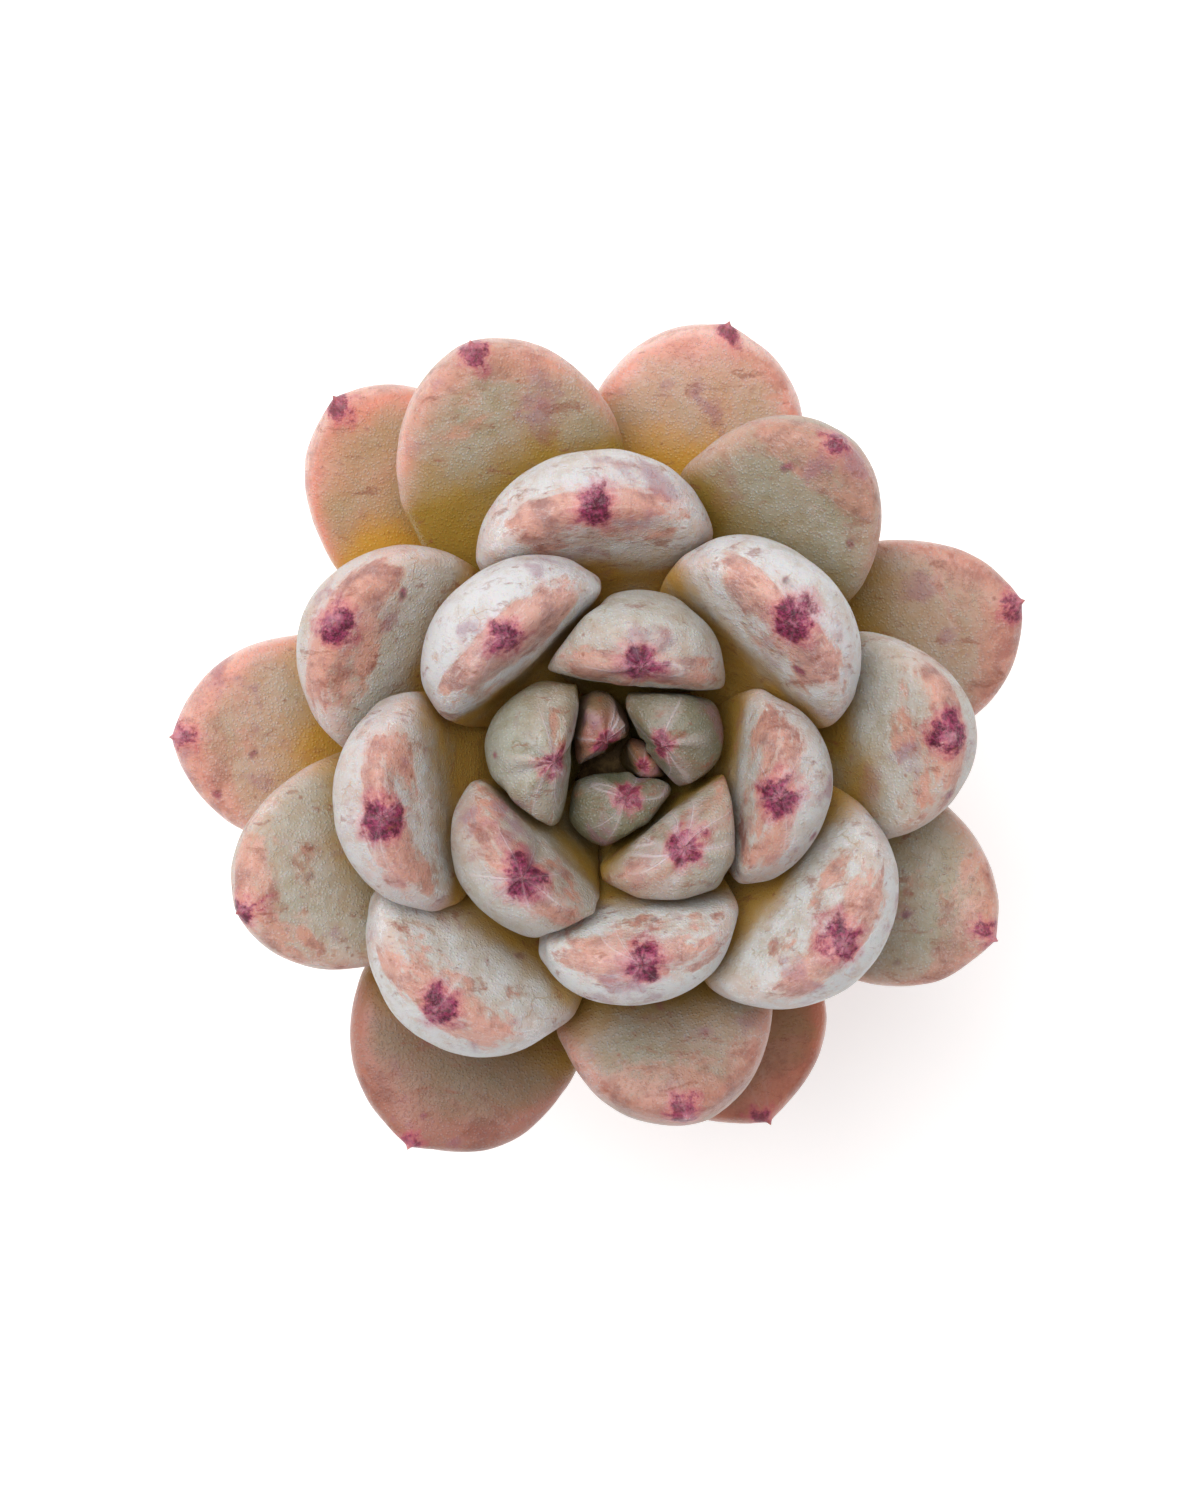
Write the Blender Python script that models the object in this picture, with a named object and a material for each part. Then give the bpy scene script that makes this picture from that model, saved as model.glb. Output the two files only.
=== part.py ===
"""A rosette succulent growing in a small clay pot, as separate solids. Metres, +Z up.

The origin is the middle of the pot's foot, on the surface that the pot stands on. The leaves sit on one
spiral round a short stem, each turned by about the golden angle from the one before. The rosette leans a
little, so its leaves are worked out in the rosette's own frame, whose origin is the stem's growing tip and
whose +Z is the stem's axis, and an empty carries them into the pot's frame.
"""

import math

import bmesh
import bpy
import numpy as np
from mathutils import Matrix, Vector

MM = 0.001
SEAT_GAP = 0.3 * MM  # left between solids that touch
PRESS_GAP = 0.5 * MM  # left where two leaves press on each other

# Pot: turned clay with a rim band and one drain hole.
POT_HEIGHT = 46.0 * MM
POT_FOOT_RADIUS = 17.0 * MM
POT_SHOULDER_RADIUS = 22.4 * MM  # outside, where the wall meets the rim band
RIM_RADIUS = 24.6 * MM
RIM_HEIGHT = 11.0 * MM
POT_WALL = 3.0 * MM
POT_FLOOR = 3.6 * MM
POT_EDGE = 0.7 * MM  # how far each edge is eased
DRAIN_RADIUS = 4.0 * MM
POT_SIDES = 40

# Potting mix: fills the pot to just under the rim, with a low mound at the stem.
SOIL_DROP = 4.5 * MM  # rim to soil at the wall
SOIL_MOUND = 1.6 * MM

# Stem: a short fleshy column that the leaves stand on, with its root end in the soil.
STEM_RADIUS = 4.6 * MM
STEM_DOME = 2.4 * MM  # depth over which the growing tip widens into the stem
RIM_CLEARANCE = 1.0 * MM  # pot's rim to the lowest leaf, which sets the stem's height
ROOT_DEPTH = 15.0 * MM
ROOT_END_RADIUS = 1.4 * MM
STEM_SIDES = 16
STEM_RINGS = 18
LEAN_DEG = 6.0
LEAN_TOWARDS_DEG = -56.0

# Leaves: thick and spoon-shaped, flat on the inner face and round on the back.
SPIRAL_DEG = 136.7  # turn from one leaf to the next
FIRST_TURN_DEG = -17.0
LEAF_NUMBERS = list(range(28)) + [30]  # two old leaves have dropped off
LEAF_LENGTH = 33.0 * MM
LEAF_LENGTH_AGE = 9.0  # leaves until the length is nearly full
LEAF_WIDTH = 18.6 * MM
LEAF_WIDTH_AGE = 4.6
LEAF_REACH = 35.7 * MM  # rosette's axis to the tip of an old leaf
LEAF_REACH_STEP = 1.6 * MM  # more for each young leaf, up to that
LEAF_THICKNESS_SHARE = 0.53  # of the width
YOUNG_THICKNESS_SHARE = 0.35  # more than that in the youngest leaves
FACE_SHARE = 0.29  # of the thickness, on the flat inner side
TIP_SETBACK_SHARE = 0.17  # of the thickness, how far the tip curves back from the inner side
FACE_POWER = 2.8  # squareness of the cross-section's flat side
BACK_POWER = 2.0
WIDEST = 0.66  # along the leaf
LEAF_FOOT_SHARE = 0.42  # how narrow the foot is
BLUNTNESS = 0.78  # of the tip's outline: lower is blunter
TIP_THICKNESS = 0.8  # the same for the tip's thickness
LEAF_POINT = 0.5 * MM  # the little point at the tip
LEAF_SIDES = 16
LEAF_RINGS = 12
LOWEST_PITCH_DEG = 9.0
MOST_BEND_DEG = 58.0  # of the upright leaves in the middle
LEAST_BEND_DEG = 15.0  # of the old leaves, which lie flat
SHADE_BEND_DEG = 17.0  # more where the shade is, less on the other side
SHADE_AT_DEG = 100.0
UPRIGHT_LEAVES = 15
FLAT_LEAVES = 20
# How leaves differ from the even spiral: extra turn in degrees, extra reach in mm, extra width in mm.
LEAF_HABITS = {
    0: (28, 1, 1.5),
    1: (2, 0.5, 0.5),
    2: (16, -2, 0.5),
    3: (3, -2, 0),
    4: (0, -1.5, 0),
    5: (2, -2, 0),
    6: (0, -2, 0),
    7: (3, -1, 0),
    8: (-4, -2, -0.5),
    9: (-3, -1, 0.5),
    10: (4, -2.5, 0),
    11: (-3, -1, 1),
    12: (6, -1, 0.5),
    13: (2, -0.5, 1.5),
    14: (0, -2.5, 1.5),
    15: (-2, -1.5, 1.5),
    16: (-4, -0.5, -1),
    17: (6, -2.5, 0),
    18: (-3, -1.5, -0.5),
    19: (-4, 0, -1),
    20: (4, 0, -1),
    21: (1, 0, -1.5),
    22: (-1, 1, 0.5),
    23: (-5, 0.5, 1),
    24: (-3, -0.5, -1),
    25: (17, -0.5, -1),
    26: (-4, -3.5, -1),
    27: (1, -0.5, 0.5),
    30: (4, -0.5, -1),
}


class Leaf:
    """One leaf's size and stance in the rosette's frame. Its midline is an arc in an upright plane."""

    def __init__(self, number):
        turn, stretch, spread = LEAF_HABITS.get(number, (0.0, 0.0, 0.0))
        self.number = number
        self.azimuth = math.radians(FIRST_TURN_DEG + SPIRAL_DEG * number + turn)
        self.depth = leaf_depth(number)
        self.foot = Vector((stem_radius(self.depth) + SEAT_GAP, -self.depth))
        self.width = LEAF_WIDTH * (1 - math.exp(-(number + 1.2) / LEAF_WIDTH_AGE)) + spread * MM
        share = LEAF_THICKNESS_SHARE + YOUNG_THICKNESS_SHARE * math.exp(-number / 3)
        thickness = share * self.width
        self.face = FACE_SHARE * thickness
        self.back = (1 - FACE_SHARE) * thickness
        self.setback = TIP_SETBACK_SHARE * thickness
        self.length = LEAF_LENGTH * (1 - math.exp(-(number + 2.0) / LEAF_LENGTH_AGE)) + stretch * MM
        age = min(1.0, max(0.0, (number - UPRIGHT_LEAVES) / (FLAT_LEAVES - UPRIGHT_LEAVES)))
        shade = (1 - age) * math.cos(self.azimuth - math.radians(SHADE_AT_DEG))
        bend = MOST_BEND_DEG + (LEAST_BEND_DEG - MOST_BEND_DEG) * age + SHADE_BEND_DEG * shade
        self.bend = math.radians(bend)
        run = leaf_reach(number) + stretch * MM - self.foot.x
        chord_share = math.sin(self.bend / 2) / (self.bend / 2)
        pitch = math.acos(max(-1.0, min(1.0, run / (self.length * chord_share))))
        if pitch < math.radians(LOWEST_PITCH_DEG):
            pitch = math.radians(LOWEST_PITCH_DEG)
            self.length = run / math.cos(pitch) / chord_share
        self.pitch = pitch - self.bend / 2
        self.arc = self.length / self.bend
        self.centre = self.foot + self.arc * Vector((-math.sin(self.pitch), math.cos(self.pitch)))

    def across(self, height):
        """(half width, face depth, back depth) at a height from -1 at the foot to 1 at the tip."""
        round_share = np.sqrt(np.clip(1 - height**2, 0, 1))
        low = LEAF_FOOT_SHARE * round_share + (1 - LEAF_FOOT_SHARE) * round_share**3
        outline = np.where(height < 0, low, round_share**BLUNTNESS)
        low = 0.5 * round_share + 0.5 * round_share**2
        depth = np.where(height < 0, low, round_share**TIP_THICKNESS)
        return self.width / 2 * outline, self.face * depth, self.back * depth

    def place(self, height, side, out, beyond=0.0):
        """Rosette-frame points from height along the leaf, side across it and out from its midline."""
        share = np.where(height < 0, WIDEST * (1 + height), WIDEST + (1 - WIDEST) * height)
        share = share + beyond / self.length
        angle = self.pitch + self.bend * share
        radius = self.arc - out + self.setback * np.maximum(height, 0) ** 2
        run = self.centre.x + radius * np.sin(angle)
        rise = self.centre.y - radius * np.cos(angle)
        c, s = math.cos(self.azimuth), math.sin(self.azimuth)
        return np.stack([run * c - side * s, run * s + side * c, rise], axis=-1)

    def fullness(self, points):
        """How far out each point lies in the leaf: 0 on its midline, 1 on its skin, more outside."""
        c, s = math.cos(self.azimuth), math.sin(self.azimuth)
        run = points[..., 0] * c + points[..., 1] * s - self.centre.x
        side = points[..., 1] * c - points[..., 0] * s
        rise = points[..., 2] - self.centre.y
        share = (np.arctan2(run, -rise) - self.pitch) / self.bend
        height = np.where(share < WIDEST, share / WIDEST - 1, (share - WIDEST) / (1 - WIDEST))
        out = self.arc - np.hypot(run, rise) + self.setback * np.maximum(height, 0) ** 2
        half, face, back = self.across(np.clip(height, -1, 1))
        tiny = 1e-9
        depth = np.where(out > 0, face, back) + tiny
        power = np.where(out > 0, FACE_POWER, BACK_POWER)
        inside = (np.abs(side) / (half + tiny)) ** power + (np.abs(out) / depth) ** power
        return np.where(np.abs(height) < 1, inside ** (1 / power), np.inf)


def leaf_depth(number):
    """How far below the growing tip a leaf stands on the stem."""
    return (0.35 * number + 0.009 * number**2) * MM


def leaf_reach(number):
    """How far a leaf's tip is from the rosette's axis."""
    even = LEAF_REACH_STEP * number
    return even / (1 + (even / LEAF_REACH) ** 10) ** 0.1


def stem_radius(depth):
    """The stem's radius at a depth below its growing tip."""
    return STEM_RADIUS * (1 - math.exp(-max(depth, 0.0) / STEM_DOME))


def signed_power(value, power):
    return np.sign(value) * np.abs(value) ** power


def leaf_ball(leaf):
    """A bmesh ball with its poles at foot and tip, and where its points lie on the unpressed leaf."""
    shape = bmesh.new()
    bmesh.ops.create_uvsphere(shape, u_segments=LEAF_SIDES, v_segments=LEAF_RINGS, radius=1.0)
    ball = np.array([vert.co for vert in shape.verts])
    height = ball[:, 2]
    round_share = np.maximum(np.hypot(ball[:, 0], ball[:, 1]), 1e-9)
    half, face, back = leaf.across(height)
    across, out = ball[:, 0] / round_share, ball[:, 1] / round_share
    power = 2 / np.where(out > 0, FACE_POWER, BACK_POWER)
    side = half * signed_power(across, power)
    depth = np.where(out > 0, face, back) * signed_power(out, power)
    core = leaf.place(height, 0 * side, 0 * depth)
    skin = leaf.place(height, side, depth)
    return shape, height, core, skin


def stem_length(leaves, lean):
    """The length from growing tip to soil that holds the lowest leaf clear of the pot's rim."""
    skins = []
    for leaf in leaves:
        shape, _, _, skin = leaf_ball(leaf)
        shape.free()
        skins.append(skin)
    turned_skins = np.concatenate(skins) @ np.array(lean.to_3x3()).T
    up = np.array(lean.to_3x3() @ Vector((0, 0, 1)))
    length = 0.0
    for _ in range(4):
        placed = turned_skins + up * length
        over_rim = np.hypot(placed[:, 0], placed[:, 1]) < RIM_RADIUS + RIM_CLEARANCE
        lowest = turned_skins[over_rim, 2].min()
        length = (POT_HEIGHT + RIM_CLEARANCE - stem_base() - lowest) / up[2]
    return length


def press_share(leaf, others, core, skin):
    """How much of each core-to-skin line a leaf keeps when its neighbours press on it."""
    reach = np.linalg.norm(skin - core, axis=1)
    gap = PRESS_GAP / np.maximum(reach, PRESS_GAP)
    low, high = np.zeros(len(core)), np.ones(len(core))

    def free(share):
        points = core + (skin - core) * share[:, None]
        clear = np.linalg.norm(points[:, :2], axis=1) > stem_clearance(points[:, 2])
        for other in others:
            clear &= other.fullness(points) >= share + gap
        return clear

    whole = free(high)
    for _ in range(14):
        middle = (low + high) / 2
        ok = free(middle)
        low, high = np.where(ok, middle, low), np.where(ok, high, middle)
    return np.where(whole, 1.0, low)


def stem_clearance(heights):
    """The radius that leaves keep out of, at heights in the rosette's frame."""
    depth = np.maximum(-heights, 0)
    radius = STEM_RADIUS * (1 - np.exp(-depth / STEM_DOME)) + SEAT_GAP
    return np.where(heights < 0, radius, 0)


def add_object(name, shape, material, parent=None):
    mesh = bpy.data.meshes.new(name)
    shape.to_mesh(mesh)
    shape.free()
    mesh.materials.append(material)
    obj = bpy.data.objects.new(name, mesh)
    bpy.context.scene.collection.objects.link(obj)
    obj.parent = parent
    mesh.shade_smooth()
    return obj


def make_material(name, colour, roughness):
    material = bpy.data.materials.new(name)
    material.use_nodes = True
    shader = material.node_tree.nodes["Principled BSDF"]
    shader.inputs["Base Color"].default_value = (*colour, 1.0)
    shader.inputs["Roughness"].default_value = roughness
    shader.inputs["Metallic"].default_value = 0.0
    return material


def add_leaf(leaf, others, material, parent):
    """The leaf, pressed by its neighbours, with a little point at its tip."""
    shape, height, core, skin = leaf_ball(leaf)
    kept = press_share(leaf, others, core, skin)
    points = core + (skin - core) * kept[:, None]
    points[height > 1 - 1e-6] = leaf.place(np.ones(1), np.zeros(1), np.zeros(1), LEAF_POINT)[0]
    for vert, point in zip(shape.verts, points):
        vert.co = point
    return add_object(f"leaf_{leaf_label(leaf.number):02d}", shape, material, parent)


def leaf_label(number):
    return LEAF_NUMBERS.index(number) + 1


def add_stem(material, rosette, length):
    """A round column along the rosette's axis that bends upright where it enters the soil."""
    shape = bmesh.new()
    bmesh.ops.create_uvsphere(shape, u_segments=STEM_SIDES, v_segments=STEM_RINGS, radius=1.0)
    root_axis = rosette.matrix_world.inverted().to_3x3() @ Vector((0, 0, -1))
    for vert in shape.verts:
        down = (length + ROOT_DEPTH) * (1 - vert.co.z) / 2
        around = Vector((vert.co.x, vert.co.y, 0)).normalized()
        if down < length:
            centre = Vector((0, 0, -down))
            radius = stem_radius(down)
        else:
            centre = Vector((0, 0, -length)) + root_axis * (down - length)
            buried = (down - length) / ROOT_DEPTH
            radius = STEM_RADIUS + (ROOT_END_RADIUS - STEM_RADIUS) * buried
        if abs(vert.co.z) > 1 - 1e-6:
            radius = 0.0
        vert.co = centre + around * radius
    return add_object("stem", shape, material, rosette)


def turned(name, profile, material):
    """A solid turned about Z from its (radius, height) profile, which may start and end on the axis."""
    shape = bmesh.new()
    verts = [shape.verts.new((radius, 0, height)) for radius, height in profile]
    edges = [shape.edges.new(pair) for pair in zip(verts, verts[1:])]
    if profile[0][0] > 0:
        edges.append(shape.edges.new((verts[-1], verts[0])))
    bmesh.ops.spin(
        shape,
        geom=verts + edges,
        cent=(0, 0, 0),
        axis=(0, 0, 1),
        angle=math.tau,
        steps=POT_SIDES,
        use_merge=True,
    )
    bmesh.ops.remove_doubles(shape, verts=shape.verts, dist=0.01 * MM)
    bmesh.ops.recalc_face_normals(shape, faces=shape.faces)
    obj = add_object(name, shape, material)
    obj.data.set_sharp_from_angle(angle=math.radians(30))
    return obj


def pot_wall_radius(height):
    """The pot wall's outside radius, under the rim band."""
    return POT_FOOT_RADIUS + (POT_SHOULDER_RADIUS - POT_FOOT_RADIUS) * height / (POT_HEIGHT - RIM_HEIGHT)


def pot_inside_radius(height):
    """The pot's inside radius, which follows the wall and then the rim."""
    return pot_wall_radius(height) - POT_WALL


def add_pot(material):
    e = POT_EDGE
    band = POT_HEIGHT - RIM_HEIGHT
    profile = [
        (DRAIN_RADIUS, 0),
        (POT_FOOT_RADIUS - e, 0),
        (POT_FOOT_RADIUS, e),
        (pot_wall_radius(band), band),
        (RIM_RADIUS - 1.5 * e, band),
        (RIM_RADIUS - 0.5 * e, band + e),
        (RIM_RADIUS, POT_HEIGHT - e),
        (RIM_RADIUS - e, POT_HEIGHT),
        (pot_inside_radius(POT_HEIGHT) + e, POT_HEIGHT),
        (pot_inside_radius(POT_HEIGHT - e), POT_HEIGHT - e),
        (pot_inside_radius(POT_FLOOR + 2 * e), POT_FLOOR + 2 * e),
        (pot_inside_radius(POT_FLOOR) - 2 * e, POT_FLOOR),
        (DRAIN_RADIUS, POT_FLOOR),
    ]
    return turned("pot", profile, material)


def soil_height():
    """The top of the potting mix at the pot's wall."""
    return POT_HEIGHT - SOIL_DROP


def stem_base():
    """The height where the stem comes out of the mix."""
    return soil_height() + SOIL_MOUND


def add_soil(material):
    """Potting mix in the shape of the pot's inside, with a socket for the stem's root end."""
    g = SEAT_GAP
    e = POT_EDGE
    top = soil_height()
    socket = stem_base() - ROOT_DEPTH - g
    edge = pot_inside_radius(top) - g
    profile = [
        (0, POT_FLOOR + g),
        (pot_inside_radius(POT_FLOOR) - 2 * e - g, POT_FLOOR + g),
        (pot_inside_radius(POT_FLOOR + 2 * e) - g, POT_FLOOR + 2 * e),
        (edge, top),
        (edge * 0.75, top + SOIL_MOUND * 0.35),
        (edge * 0.5, top + SOIL_MOUND * 0.75),
        (STEM_RADIUS + g, stem_base()),
        (ROOT_END_RADIUS + g, socket),
        (0, socket),
    ]
    return turned("potting_mix", profile, material)


def main():
    for obj in list(bpy.data.objects):
        bpy.data.objects.remove(obj)
    skin = make_material("leaf_skin", (0.55, 0.43, 0.38), 0.6)
    bark = make_material("stem_bark", (0.30, 0.20, 0.12), 0.8)
    clay = make_material("fired_clay", (0.55, 0.23, 0.12), 0.9)
    mix = make_material("potting_mix", (0.09, 0.06, 0.04), 0.95)

    towards = math.radians(LEAN_TOWARDS_DEG)
    lean_axis = Vector((-math.sin(towards), math.cos(towards), 0))
    lean = Matrix.Rotation(math.radians(LEAN_DEG), 4, lean_axis)
    leaves = [Leaf(number) for number in LEAF_NUMBERS]
    length = stem_length(leaves, lean)
    rosette = bpy.data.objects.new("rosette", None)
    bpy.context.scene.collection.objects.link(rosette)
    base = Matrix.Translation((0, 0, stem_base()))
    rosette.matrix_world = base @ lean @ Matrix.Translation((0, 0, length))

    add_pot(clay)
    add_soil(mix)
    add_stem(bark, rosette, length)
    for leaf in leaves:
        others = [other for other in leaves if other is not leaf]
        add_leaf(leaf, others, skin, rosette)


main()
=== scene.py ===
import math
import random

import bmesh
import bpy
import numpy as np
from mathutils import Matrix, Vector, noise


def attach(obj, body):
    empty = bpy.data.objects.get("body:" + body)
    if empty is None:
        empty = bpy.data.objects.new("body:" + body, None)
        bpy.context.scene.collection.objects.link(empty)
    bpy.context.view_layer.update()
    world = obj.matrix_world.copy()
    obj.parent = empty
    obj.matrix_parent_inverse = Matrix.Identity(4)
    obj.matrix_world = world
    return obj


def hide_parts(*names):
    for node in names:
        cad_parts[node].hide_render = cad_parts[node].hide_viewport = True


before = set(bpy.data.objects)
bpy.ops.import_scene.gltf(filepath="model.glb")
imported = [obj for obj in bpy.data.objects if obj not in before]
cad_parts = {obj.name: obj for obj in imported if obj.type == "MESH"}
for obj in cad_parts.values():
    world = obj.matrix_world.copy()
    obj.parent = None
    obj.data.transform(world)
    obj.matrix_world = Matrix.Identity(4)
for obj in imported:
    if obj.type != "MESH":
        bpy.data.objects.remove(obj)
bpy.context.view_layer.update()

# ---------------------------------------------------------------- pot
# A small flower pot of red earthenware, thrown on a wheel and fired once without a glaze.
# The rim band is thickened so that it can be picked up, and one hole drains the foot.

MM = 0.001
POT_TOP = 46.0
POT_TURNS = 160
PROFILE_POINTS = 190
FOOT_FLAT = 6  # radius in mm inside which the foot and floor keep their shape
pot_profile = [  # radius and height in mm, from the drain hole out, up the wall and back down inside
    (4.0, 3.6), (4.1, 0.5), (4.6, 0.0), (11.0, 0.0), (15.8, 0.0), (16.6, 0.2), (17.0, 0.8),
    (18.4, 10.0), (20.4, 22.7), (22.1, 33.6), (22.4, 34.6), (23.1, 35.0), (23.9, 35.2),
    (24.2, 35.9), (24.4, 40.0), (24.6, 44.6), (24.45, 45.5), (23.8, 46.0), (22.9, 46.0),
    (22.0, 45.9), (21.5, 45.2), (20.9, 40.0), (19.3, 31.0), (15.1, 6.0), (14.1, 4.2), (12.4, 3.6),
]


def linear(colour):
    """A hex sRGB colour as linear red, green, blue and full alpha."""
    parts = [int(colour[i : i + 2], 16) / 255 for i in (1, 3, 5)]
    return (*[p / 12.92 if p <= 0.04045 else ((p + 0.055) / 1.055) ** 2.4 for p in parts], 1.0)


def add_node(tree, kind, inputs=None, **settings):
    """A node of that kind with its settings, and each of its inputs set or linked."""
    made = tree.nodes.new("ShaderNode" + kind)
    for name, value in settings.items():
        setattr(made, name, value)
    for socket, value in (inputs or {}).items():
        if isinstance(value, bpy.types.NodeSocket):
            tree.links.new(value, made.inputs[socket])
        else:
            made.inputs[socket].default_value = value
    return made


def new_material(name):
    """An empty material's tree and its shader."""
    material = bpy.data.materials.new(name)
    material.use_nodes = True
    return material, material.node_tree, material.node_tree.nodes["Principled BSDF"]


def add_piece(name, shape, material, slot, *nodes):
    """The mesh as a piece that rides with the object and stands for those CAD nodes."""
    mesh = bpy.data.meshes.new(name)
    shape.to_mesh(mesh)
    shape.free()
    mesh.shade_smooth()
    mesh.materials.append(material)
    piece = bpy.data.objects.new(name, mesh)
    bpy.context.scene.collection.objects.link(piece)
    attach(piece, "root")
    if nodes:
        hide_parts(*nodes)
    return piece


def between(a, b, c, d, t):
    """The value a share t of the way from b to c, on a smooth curve through all four."""
    bow, twist = 2 * a - 5 * b + 4 * c - d, 3 * b - a - 3 * c + d
    return 0.5 * (2 * b + (c - a) * t + bow * t**2 + twist * t**3)


def smooth_line(points, count):
    """A curve through the points, as that many points evenly spaced along it."""
    points = np.array(points, float)
    out = []
    for i in range(len(points) - 1):
        a, b = points[max(i - 1, 0)], points[i]
        c, d = points[i + 1], points[min(i + 2, len(points) - 1)]
        for t in np.linspace(0, 1, 12, endpoint=False):
            out.append(between(a, b, c, d, t))
    out = np.array(out + [points[-1]])
    run = np.concatenate([[0], np.cumsum(np.linalg.norm(np.diff(out, axis=0), axis=1))])
    even = np.linspace(0, run[-1], count)
    return np.stack([np.interp(even, run, out[:, k]) for k in range(out.shape[1])], axis=1)


pot_shape = bmesh.new()
outline = smooth_line(pot_profile + pot_profile[:1], PROFILE_POINTS)[:-1]
line = [pot_shape.verts.new((r * MM, 0, z * MM)) for r, z in outline]
edges = [pot_shape.edges.new(pair) for pair in zip(line, line[1:] + line[:1])]
bmesh.ops.spin(pot_shape, geom=line + edges, axis=(0, 0, 1), cent=(0, 0, 0), dvec=(0, 0, 0),
               angle=math.tau, steps=POT_TURNS, use_merge=True, use_duplicate=False)
bmesh.ops.remove_doubles(pot_shape, verts=pot_shape.verts, dist=1e-7)
for vert in pot_shape.verts:
    where = vert.co / MM
    ring = noise.noise(Vector((0.6, 0.2, where.z * 1.1))) * 0.05
    lump = noise.noise(where * 0.12 + Vector((7, 1, 4))) * 0.1 + noise.noise(where * 0.9) * 0.03
    vert.co.z = max(0.0, vert.co.z)
    if 0.4 < where.z < POT_TOP - 0.3 and where.xy.length > FOOT_FLAT:
        vert.co.xy += vert.co.xy.normalized() * (ring + lump) * MM
bmesh.ops.recalc_face_normals(pot_shape, faces=pot_shape.faces)

# Fired red clay: matt and porous, paler where lime and salts have dried out near the foot and
# rim, darker along the thrower's finger rings, with grit pits of a few tenths of a millimetre.
clay, tree, shader = new_material("Unglazed red earthenware")
place = add_node(tree, "TexCoord").outputs["Object"]
height = add_node(tree, "SeparateXYZ", {0: place}).outputs[2]
cloud = add_node(tree, "TexNoise", {"Vector": place, "Scale": 95, "Detail": 6, "Roughness": 0.62}).outputs[0]
lime = add_node(tree, "TexNoise", {"Vector": place, "Scale": 260, "Detail": 8, "Roughness": 0.7}).outputs[0]
grit = add_node(tree, "TexNoise", {"Vector": place, "Scale": 2400, "Detail": 3, "Roughness": 0.6}).outputs[0]
stretch = add_node(tree, "Mapping", {"Vector": place, "Scale": (30, 30, 900)}).outputs[0]
throw = add_node(tree, "TexNoise", {"Vector": stretch, "Scale": 1, "Detail": 4, "Roughness": 0.55}).outputs[0]
pits = add_node(tree, "TexVoronoi", {"Vector": place, "Scale": 900, "Randomness": 1}, feature="F1").outputs[0]
pit = add_node(tree, "MapRange", {0: pits, 1: 0.05, 2: 0.2, 3: 1.0, 4: 0.0},
               interpolation_type="SMOOTHSTEP").outputs[0]
body = add_node(tree, "Mix", {0: cloud, 6: linear("#a4532f"), 7: linear("#c0714a")},
                data_type="RGBA").outputs[2]
band = add_node(tree, "MapRange", {0: throw, 1: 0.35, 2: 0.7, 3: 0.0, 4: 0.35}).outputs[0]
body = add_node(tree, "Mix", {0: band, 6: body, 7: linear("#8c4124")}, data_type="RGBA").outputs[2]
low = add_node(tree, "MapRange", {0: height, 1: 0.0, 2: 0.026, 3: 0.26, 4: 0.0},
               interpolation_type="SMOOTHSTEP").outputs[0]
rim = add_node(tree, "MapRange", {0: height, 1: 0.041, 2: 0.046, 3: 0.0, 4: 0.2},
               interpolation_type="SMOOTHSTEP").outputs[0]
salt = add_node(tree, "Math", {0: low, 1: rim}, operation="ADD").outputs[0]
salt = add_node(tree, "Math", {0: salt, 1: lime}, operation="ADD").outputs[0]
salt = add_node(tree, "MapRange", {0: salt, 1: 0.55, 2: 0.9, 3: 0.0, 4: 0.75},
                interpolation_type="SMOOTHSTEP").outputs[0]
body = add_node(tree, "Mix", {0: salt, 6: body, 7: linear("#d8b9a2")}, data_type="RGBA").outputs[2]
body = add_node(tree, "Mix", {0: pit, 6: body, 7: linear("#5e2d1c")}, data_type="RGBA").outputs[2]
tree.links.new(body, shader.inputs["Base Color"])
rough = add_node(tree, "MapRange", {0: lime, 1: 0.3, 2: 0.7, 3: 0.78, 4: 0.95}).outputs[0]
tree.links.new(rough, shader.inputs["Roughness"])
shader.inputs["IOR"].default_value = 1.5
grain = add_node(tree, "Bump", {"Strength": 0.5, "Distance": 0.00008, "Height": grit}).outputs[0]
grain = add_node(tree, "Bump",
                 {"Strength": 0.35, "Distance": 0.0003, "Height": throw, "Normal": grain}).outputs[0]
grain = add_node(tree, "Bump", {"Strength": 0.5, "Distance": 0.0002, "Height": pit, "Normal": grain},
                 invert=True).outputs[0]
tree.links.new(grain, shader.inputs["Normal"])
add_piece("pot_wall", pot_shape, clay, "fired_clay", "pot")

# ---------------------------------------------------------------- potting mix
# A free-draining mix for succulents: dark crumbly peat with pumice and crushed stone in it.
# It fills the pot to a few millimetres under the rim and is mounded against the stem.

MIX_TOP = 41.5  # height at the wall, in mm
MIX_EDGE = 20.7  # radius at the wall
MIX_MOUND = 1.6  # more height at the stem
STEM_SOCKET = 5.1  # radius round the stem that the mix leaves free
MIX_TURNS = 180


def mix_height(radius):
    """The top of the mix at a distance from the pot's middle, in mm."""
    share = min(1.0, max(0.0, (radius - STEM_SOCKET) / (MIX_EDGE - STEM_SOCKET)))
    return MIX_TOP + MIX_MOUND * (1 - share) ** 1.2


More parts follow.
